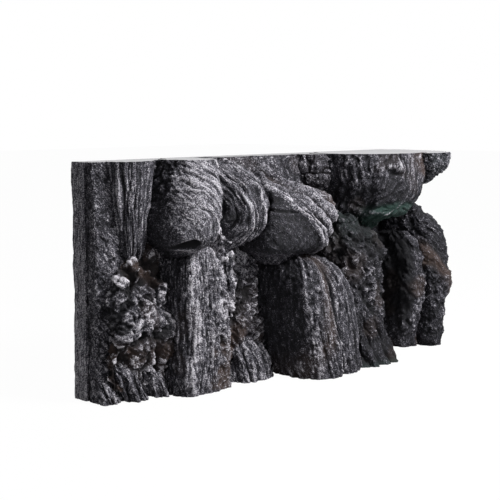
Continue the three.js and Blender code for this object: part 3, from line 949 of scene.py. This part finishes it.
def back_panel(skin):
    """The flat panel: upright bark-like grain on its two ends, rough ground in front, plain behind."""
    here = x, y, z = skin.place()
    end = step(5, 1.5, x - skin.low[ALONG]) + step(5, 1.5, skin.high[ALONG] - x)
    front = step(skin.high[OUT] - 2.5, skin.high[OUT] - 1, y)
    upright = (y, 0 * y, z)
    bark = 0.8 * fibre(upright, 6, 130, 2, 121) + 0.6 * fibre(upright, 2.6, 50, 1, 122)
    edge = bump(y, skin.high[OUT] - 1.0, 2.0)
    relief = end * (bark - 0.6 * edge + 0.3 * rock(here, 123)) + 1.5 * front * creased(here, 20, 3, 124)
    # The front, seen only in the gaps between castings, is darker as painted shade.
    chalk = end * (0.8 - 0.25 * skin.share(UP)) - 0.3 * front - 0.2 * (1 - end)
    return relief, {"chalk": chalk, "flow": (x, y, z / 8)}


# ---------------------------------------------------------------- paint


def empty_tree(owner):
    """Turns on the nodes of a material or a world, and empties them."""
    owner.use_nodes = True
    owner.node_tree.nodes.clear()
    return owner.node_tree


def add_node(tree, kind, inputs=None, stops=None, **settings):
    """Adds a node: its settings, its inputs (a socket is linked, a value is set) and a ramp's stops."""
    node = tree.nodes.new(kind)
    for key, value in settings.items():
        setattr(node, key, value)
    for key, value in (inputs or {}).items():
        if isinstance(value, bpy.types.NodeSocket):
            tree.links.new(value, node.inputs[key])
        else:
            node.inputs[key].default_value = value
    if stops:
        ramp = node.color_ramp
        while len(ramp.elements) < len(stops):
            ramp.elements.new(1.0)
        for element, (place, colour) in zip(ramp.elements, stops):
            element.position, element.color = place, colour
    return node


def per_mm(size):
    """The scale of a texture on metre coordinates whose features are this many millimetres across."""
    return 1 / (size * MM)


MATH, MIX = "ShaderNodeMath", "ShaderNodeMix"
# Millimetres and detail of: patches where the brush pressed harder, bristle streaks along the grain, grit,
# and its fines. Real bristles and grit leave marks of 0.1 to 0.4 mm, too fine to show, so they are coarser.
MARKS = ((11, 2), (1.7, 3), (1.2, 3), (0.6, 2))
MEAN_MARKS = 2.45  # taken off, so that the weighted marks centre on the dark tones
TONES = (0.0, 0.28, 0.62, 1.0)  # tones at which crevice black (also painted shade), charcoal, slate and chalk (also painted light) are pure
WEAR = {1: 0.45, 2: 0.95, 3: 1.0, 4: 0.25}  # a wash fades from whole to a quarter between these tones
MOST_WASH, MOST_SHADE = 0.75, 0.85  # how far a wash, and the painted shade of a hollow, can hide the paint
CUT_ROUGHNESS = 0.28  # of the coat where the casting was cut flat
GRIT_DEPTH = 0.8 * MM  # a real paint film's grit is finer, and is drawn this coarse so that it shows


def resin(name, settings, brush):
    """Cast polyurethane resin under thin paint: black in the hollows, partly wash and partly painted shade,
    dry-brushed crests, a dull coat.

    The eye gets deep soft blacks between the grains, partly painted shade, a broken chalky grey on every
    crest, washes of umber and moss in places, and a dull sheen with small sharp glints. Where the casting was
    cut flat, the paint is thin and even, and the coat shines.
    """
    material = bpy.data.materials.new(name)
    tree = empty_tree(material)
    here = add_node(tree, "ShaderNodeTexCoord").outputs["Object"]
    flow = add_node(tree, "ShaderNodeAttribute", attribute_name="flow").outputs["Vector"]
    field = {
        key: add_node(tree, "ShaderNodeAttribute", attribute_name=key).outputs["Fac"]
        for key in ("raised", "cut", "chalk", "umber", "moss", "shade")
    }
    patch, streak, speck, fleck = [
        add_node(
            tree, "ShaderNodeTexNoise", {"Vector": place, "Scale": per_mm(size), "Detail": detail}
        ).outputs["Fac"]
        for place, (size, detail) in zip((here, flow, here, here), MARKS)
    ]

    def sum_of(start, *terms):
        """start plus each socket times its weight."""
        total = start
        for socket, weight in terms:
            added = add_node(tree, MATH, {0: socket, 1: weight, 2: total}, operation="MULTIPLY_ADD")
            total = added.outputs[0]
        return total

    marks = ((patch, 0.5), (streak, 1.4), (speck, 2.0), (fleck, 1.4))
    # Tone: dry brushing on raised relief, which also leaves the hollows dark as painted shade, plus the chalk
    # field's dry brush, painted light and painted shade, plus the marks.
    tone = sum_of(brush - MEAN_MARKS, (field["raised"], 0.11), (field["chalk"], 0.6), *marks)
    colours = (settings.crevice_and_shade, settings.charcoal, settings.slate, settings.chalk)
    stops = [(tone_at, (*colour, 1)) for tone_at, colour in zip(TONES, colours)]
    paint = add_node(tree, "ShaderNodeValToRGB", {"Fac": tone}, stops).outputs["Color"]

    wear = add_node(tree, "ShaderNodeMapRange", {"Value": tone, **WEAR}).outputs[0]
    layers = []
    for key, colour in (("umber", settings.umber), ("moss", settings.moss)):
        share = add_node(tree, MATH, {0: field[key], 1: wear}, operation="MULTIPLY").outputs[0]
        broken = sum_of(-0.6, (share, 1.0), (patch, 0.7), (speck, 0.5))
        wash = add_node(tree, MATH, {0: broken, 1: share}, operation="MULTIPLY", use_clamp=True)
        thin = add_node(tree, MATH, {0: wash.outputs[0], 1: MOST_WASH}, operation="MINIMUM")
        layers.append((thin.outputs[0], colour))
    # Painted shade: the shade field mixes the crevice black over the paint in hollows, slits, clefts, gaps
    # and caves.
    hollow = add_node(tree, MATH, {0: field["shade"], 1: MOST_SHADE}, operation="MULTIPLY")
    layers.append((hollow.outputs[0], settings.crevice_and_shade))
    layers.append((field["cut"], settings.cut))
    for amount, colour in layers:
        paint = add_node(tree, MIX, {0: amount, 6: paint, 7: (*colour, 1)}, data_type="RGBA").outputs[2]

    dull = sum_of(0.5, (patch, 0.2), (speck, 0.2))
    grit = sum_of(0.0, (streak, 0.7), (speck, 0.8), (fleck, 0.6))
    rough, height = [
        add_node(tree, MIX, {0: field["cut"], 2: cast, 3: cut}, data_type="FLOAT").outputs[0]
        for cast, cut in ((dull, CUT_ROUGHNESS), (grit, 1.0))
    ]
    relief = add_node(tree, "ShaderNodeBump", {"Height": height, "Strength": 1.0, "Distance": GRIT_DEPTH})
    surface = add_node(
        tree,
        "ShaderNodeBsdfPrincipled",
        {"Base Color": paint, "Roughness": rough, "Normal": relief.outputs[0], "Specular IOR Level": 0.32},
    )
    add_node(tree, "ShaderNodeOutputMaterial", {"Surface": surface.outputs[0]})
    return material


# ---------------------------------------------------------------- settings


def colour_setting(name, description, value):
    """A colour the user can change, from an sRGB hex value."""
    return bpy.props.FloatVectorProperty(
        name=name, description=description, subtype="COLOR", size=3, min=0, max=1, default=linear(value)[:3]
    )


def light_setting(name, description, watts):
    """A light's power, which the user can change."""
    return bpy.props.FloatProperty(
        name=name, description=description, subtype="POWER", unit="POWER", default=watts, min=0
    )


class TerraceSettings(bpy.types.PropertyGroup):
    """The sizes, colours and lights that a user would change."""

    spacing: bpy.props.FloatProperty(
        name="Grid spacing",
        description="Distance between the points of a skin",
        subtype="DISTANCE",
        unit="LENGTH",
        default=1.0 * MM,
        min=0.6 * MM,
        max=6 * MM,
    )
    depth: bpy.props.FloatProperty(
        name="Relief depth",
        description="Weight of the cast relief",
        subtype="FACTOR",
        default=1.0,
        min=0,
        max=1.5,
    )
    # The crevice black is also the colour of painted shade.
    crevice_and_shade: colour_setting("Crevice black", "Paint left in the hollows", 0x0D0D12)
    charcoal: colour_setting("Charcoal", "Base coat of the resin", 0x2A2932)
    slate: colour_setting("Slate", "Grey brushed over the base coat", 0x69676F)
    # The chalk colour is also the colour of painted light on faces turned to the light.
    chalk: colour_setting("Chalk", "Pale dry brush on the crests", 0xD4D1D8)
    umber: colour_setting("Umber", "Brown wash in places", 0x43352F)
    moss: colour_setting("Moss", "Green wash under the ledge", 0x2F4C44)
    cut: colour_setting("Cut face", "Thin paint on the flat cut top and base", 0x8E8D91)
    key: light_setting("Key light", "Power of the large soft light", 22.0)
    fill: light_setting("Fill light", "Power of the weak light", 2.0)


# ---------------------------------------------------------------- castings

CHARCOAL, UMBER = "charcoal_resin", "umber_resin"
BRUSHED, RUBBLE = "dry_brushed_resin", "rubble_resin"
BRUSH = {CHARCOAL: 0.0, UMBER: 0.05, BRUSHED: 0.12, RUBBLE: 0.0}  # how much chalk each finish has brushed on

GROUPS = {
    "panel": {"back_panel": (back_panel, CHARCOAL)},
    "walls": {
        "left_wall": (left_wall, CHARCOAL),
        "upper_wall": (upper_wall, UMBER),
        "cave_wall": (cave_wall, CHARCOAL),
    },
    "boulders": {
        "overhang_boulder": (overhang_boulder, BRUSHED),
        "folded_rock": (folded_rock, BRUSHED),
        "centre_boulder": (centre_boulder, CHARCOAL),
    },
    "ledge": {
        "terrace_ledge": (terrace_ledge, UMBER),
        "ledge_tip": (ledge_tip, CHARCOAL),
        "ledge_shoulder": (ledge_shoulder, UMBER),
    },
    "pillars": {
        "hanging_column": (hanging_column, BRUSHED),
        "left_pillar": (left_pillar, BRUSHED),
        "centre_pillar": (centre_pillar, CHARCOAL),
        "right_pillar_front": (right_pillar_front, UMBER),
        "right_pillar_back": (right_pillar_back, CHARCOAL),
    },
    "rubble": {
        "knob_stack": (knob_stack, RUBBLE),
        "left_rubble": (left_rubble, RUBBLE),
        "centre_rubble": (centre_rubble, RUBBLE),
        "right_rubble": (right_rubble, RUBBLE),
    },
    "feet": {
        "foot_outer": (foot(0.35, 170), BRUSHED),
        "foot_middle": (foot(0.35, 180), BRUSHED),
        "foot_inner": (foot(0.2, 190), BRUSHED),
        "centre_foot": (foot(0.25, 200), BRUSHED),
    },
}


def finish(slot, settings):
    """The material of a finish, made the first time it is asked for."""
    found = bpy.data.materials.get(slot + "_paint")
    if found:
        return found
    return resin(slot + "_paint", settings, BRUSH[slot])


def make_group(group, context):
    """Makes every casting of a group: its skin, its relief, its paint."""
    settings = context.scene.terrace
    for node, (shape, slot) in GROUPS[group].items():
        skin = (Panel if node == "back_panel" else Skin)(node, settings.spacing / MM)
        relief, paint = shape(skin)
        build(skin, node, relief * settings.depth - SINK, paint, finish(slot, settings))
    return {"FINISHED"}


# ---------------------------------------------------------------- stage

EYE = (-0.9821, -0.8845, 0.2922)  # where the camera stands
EYE_TURN = (math.radians(83.23), 0, math.radians(-46.063))
LENS = 86.4  # millimetres
AIM = (0.0, 0.0, 0.1)  # what the lights look at
KEY_PLACE = tuple(np.array(AIM) + 1.2 * np.array([0.22, -0.71, 0.67]))
KEY_SIZE = 0.35
FILL_PLACE, FILL_SIZE = (-0.9, -0.9, 0.5), 0.8
FLOOR_HALF = 6.0
PAPER = 0x9C9C9C  # how much light the sweep throws back on the castings
PAPER_GLOW, PAPER_SHARE = 1.05, 0.93  # the glow that the eye sees instead, and its share
BRIGHT_WAY = (0.72, 0.69, 0.0)  # towards the bright side of the room, behind the castings
ROOM = {1: 0.3, 2: 0.8, 3: 0.12, 4: 1.0}  # how the room's light rises from the dark side to the bright one


def area_light(name, place, aim, size, power):
    """A square soft light, tilted and turned by the two angles of the line from it to a point."""
    light = bpy.data.lights.new(name, "AREA")
    light.energy, light.size = power, size
    lamp = bpy.data.objects.new(name, light)
    lamp.location = place
    way = np.array(aim) - np.array(place)
    flat = math.hypot(way[0], way[1])
    lamp.rotation_euler = (math.pi / 2 + math.atan2(way[2], flat), 0, math.atan2(-way[0], way[1]))
    bpy.context.scene.collection.objects.link(lamp)


def make_stage(settings):
    """Floor, world, lights and camera. The room's light rises with a direction's part along BRIGHT_WAY."""
    scene = bpy.context.scene
    scene.view_settings.view_transform = "Standard"
    floor = bpy.data.meshes.new("floor")
    corners = [(x * FLOOR_HALF, y * FLOOR_HALF, 0) for x, y in ((-1, -1), (1, -1), (1, 1), (-1, 1))]
    floor.from_pydata(corners, [], [(0, 1, 2, 3)])
    ground = bpy.data.objects.new("floor", floor)
    scene.collection.objects.link(ground)
    paper = bpy.data.materials.new("white_paper_sweep")
    tree = empty_tree(paper)
    matt = add_node(tree, "ShaderNodeBsdfDiffuse", {"Color": linear(PAPER)})
    glow = add_node(tree, "ShaderNodeEmission", {"Color": (1, 1, 1, 1), "Strength": PAPER_GLOW})
    seen = add_node(tree, "ShaderNodeLightPath").outputs["Is Camera Ray"]
    share = add_node(tree, MATH, {0: seen, 1: PAPER_SHARE}, operation="MULTIPLY").outputs[0]
    mixed = add_node(tree, "ShaderNodeMixShader", {0: share, 1: matt.outputs[0], 2: glow.outputs[0]})
    add_node(tree, "ShaderNodeOutputMaterial", {"Surface": mixed.outputs[0]})
    floor.materials.append(paper)

    scene.world = bpy.data.worlds.new("studio")
    tree = empty_tree(scene.world)
    way = add_node(tree, "ShaderNodeTexCoord").outputs["Generated"]
    facing = add_node(
        tree, "ShaderNodeVectorMath", {0: way, 1: BRIGHT_WAY}, operation="DOT_PRODUCT"
    ).outputs["Value"]
    glow = add_node(tree, "ShaderNodeMapRange", {"Value": facing, **ROOM}).outputs[0]
    seen = add_node(tree, "ShaderNodeLightPath").outputs["Is Camera Ray"]
    level = add_node(tree, MIX, {0: seen, 2: glow, 3: 1.0}, data_type="FLOAT").outputs[0]
    back = add_node(tree, "ShaderNodeBackground", {"Color": (1, 1, 1, 1), "Strength": level})
    add_node(tree, "ShaderNodeOutputWorld", {"Surface": back.outputs[0]})

    area_light("key", KEY_PLACE, AIM, KEY_SIZE, settings.key)
    area_light("fill", FILL_PLACE, AIM, FILL_SIZE, settings.fill)

    lens = bpy.data.cameras.new("camera")
    lens.lens = LENS
    camera = bpy.data.objects.new("camera", lens)
    camera.location, camera.rotation_euler = EYE, EYE_TURN
    scene.collection.objects.link(camera)
    scene.camera = camera


# ---------------------------------------------------------------- add-on


class TERRACE_OT_panel(bpy.types.Operator):
    """Make the back panel, with the bark-like grooves on its ends"""

    bl_idname = "terrace.panel"
    bl_label = "Back panel"

    def execute(self, context):
        return make_group("panel", context)


class TERRACE_OT_walls(bpy.types.Operator):
    """Make the three wall castings on the panel"""

    bl_idname = "terrace.walls"
    bl_label = "Walls"

    def execute(self, context):
        return make_group("walls", context)


class TERRACE_OT_boulders(bpy.types.Operator):
    """Make the two upper boulders and the folded rock between them"""

    bl_idname = "terrace.boulders"
    bl_label = "Boulders"

    def execute(self, context):
        return make_group("boulders", context)


class TERRACE_OT_ledge(bpy.types.Operator):
    """Make the terrace ledge with its tip and shoulder"""

    bl_idname = "terrace.ledge"
    bl_label = "Ledge"

    def execute(self, context):
        return make_group("ledge", context)


class TERRACE_OT_pillars(bpy.types.Operator):
    """Make the hanging column and the four pillars"""

    bl_idname = "terrace.pillars"
    bl_label = "Pillars"

    def execute(self, context):
        return make_group("pillars", context)


class TERRACE_OT_rubble(bpy.types.Operator):
    """Make the stacks of knobbly rubble"""

    bl_idname = "terrace.rubble"
    bl_label = "Rubble"

    def execute(self, context):
        return make_group("rubble", context)


class TERRACE_OT_feet(bpy.types.Operator):
    """Make the small rocks at the foot of the wall"""

    bl_idname = "terrace.feet"
    bl_label = "Feet"

    def execute(self, context):
        return make_group("feet", context)


class TERRACE_OT_stage(bpy.types.Operator):
    """Make the floor, the studio light and the camera"""

    bl_idname = "terrace.stage"
    bl_label = "Stage"

    def execute(self, context):
        make_stage(context.scene.terrace)
        return {"FINISHED"}


OPERATORS = (
    TERRACE_OT_stage,
    TERRACE_OT_panel,
    TERRACE_OT_walls,
    TERRACE_OT_boulders,
    TERRACE_OT_ledge,
    TERRACE_OT_pillars,
    TERRACE_OT_rubble,
    TERRACE_OT_feet,
)


class TERRACE_PT_sidebar(bpy.types.Panel):
    """Lists the settings and the operators"""

    bl_label = "Rock terrace"
    bl_idname = "TERRACE_PT_sidebar"
    bl_space_type = "VIEW_3D"
    bl_region_type = "UI"
    bl_category = "Terrace"

    def draw(self, context):
        for name in TerraceSettings.__annotations__:
            self.layout.prop(context.scene.terrace, name)
        for operator in OPERATORS:
            self.layout.operator(operator.bl_idname)


def register():
    for cls in (TerraceSettings, *OPERATORS, TERRACE_PT_sidebar):
        bpy.utils.register_class(cls)
    bpy.types.Scene.terrace = bpy.props.PointerProperty(type=TerraceSettings)


def unregister():
    del bpy.types.Scene.terrace
    for cls in reversed((TerraceSettings, *OPERATORS, TERRACE_PT_sidebar)):
        bpy.utils.unregister_class(cls)


def main():
    register()
    for operator in OPERATORS:
        group, name = operator.bl_idname.split(".")
        getattr(getattr(bpy.ops, group), name)()


if __name__ == "__main__":
    main()
